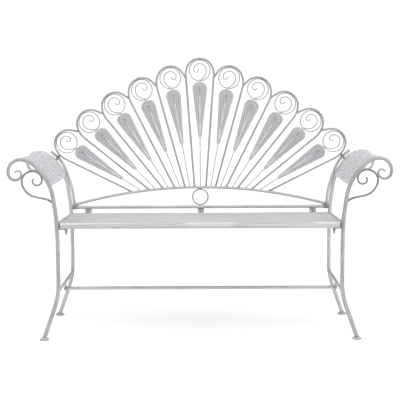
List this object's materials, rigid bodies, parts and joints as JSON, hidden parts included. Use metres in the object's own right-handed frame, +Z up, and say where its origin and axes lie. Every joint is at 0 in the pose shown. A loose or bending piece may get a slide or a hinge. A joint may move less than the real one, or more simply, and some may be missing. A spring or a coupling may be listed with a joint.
{
  "type": "garden bench",
  "caption": "Painted metal garden bench with a pressed seat, outward-scrolling arms topped with woven sheet, and a fan-shaped back of hooped plumes with spirals and leaves.",
  "frame": {"origin": "on the floor, in the middle of the four feet", "axes": "+X along the seat to the right as seen from the front, +Y to the back, +Z up"},
  "size_m": [1.439, 0.4658, 1.0685],
  "materials": {
    "frame_paint": "antique white brushed over grey-brown steel, satin, rubbed through in spots",
    "fan_paint": "antique white brushed over grey-brown rod, satin, rubbed through in spots",
    "woven_sheet": "pierced basket-weave sheet in bluish antique white",
    "leaf_paint": "embossed sheet, white wiped over grey so that the ribs show",
    "seat_paint": "antique white with long brushed streaks along the seat",
    "fasteners": "dull zinc, slightly stained"
  },
  "bodies": {
    "root": {"front_leg_left": "frame_paint", "front_leg_right": "frame_paint", "rear_leg_left": "frame_paint", "rear_leg_right": "frame_paint", "front_scroll_left": "frame_paint", "front_scroll_right": "frame_paint", "arm_panel_left": "woven_sheet", "arm_panel_right": "woven_sheet", "foot_discs": "frame_paint", "seat_rails": "frame_paint", "seat_ledgers": "frame_paint", "seat_tray": "seat_paint", "seat_stiffeners": "seat_paint", "side_stretchers": "frame_paint", "stretcher_brackets": "frame_paint", "stretcher_bar": "frame_paint", "back_bottom_rail": "frame_paint", "back_arch_rail": "frame_paint", "back_ring": "frame_paint", "back_tabs": "frame_paint", "back_lugs": "frame_paint", "back_side_bar_left": "frame_paint", "back_side_bar_right": "frame_paint", "hoop_centre": "fan_paint", "hoop_left_1": "fan_paint", "hoop_left_2": "fan_paint", "hoop_left_3": "fan_paint", "hoop_left_4": "fan_paint", "hoop_left_5": "fan_paint", "hoop_right_1": "fan_paint", "hoop_right_2": "fan_paint", "hoop_right_3": "fan_paint", "hoop_right_4": "fan_paint", "hoop_right_5": "fan_paint", "curl_centre": "fan_paint", "curl_left_1": "fan_paint", "curl_left_2": "fan_paint", "curl_left_3": "fan_paint", "curl_left_4": "fan_paint", "curl_left_5": "fan_paint", "curl_right_1": "fan_paint", "curl_right_2": "fan_paint", "curl_right_3": "fan_paint", "curl_right_4": "fan_paint", "curl_right_5": "fan_paint", "leaf_centre": "leaf_paint", "leaf_left_1": "leaf_paint", "leaf_left_2": "leaf_paint", "leaf_left_3": "leaf_paint", "leaf_left_4": "leaf_paint", "leaf_left_5": "leaf_paint", "leaf_right_1": "leaf_paint", "leaf_right_2": "leaf_paint", "leaf_right_3": "leaf_paint", "leaf_right_4": "leaf_paint", "leaf_right_5": "leaf_paint", "seat_bolts": "fasteners", "seat_cap_nuts": "fasteners", "back_bolts": "fasteners", "stretcher_bolts": "fasteners"}
  },
  "joints": []
}
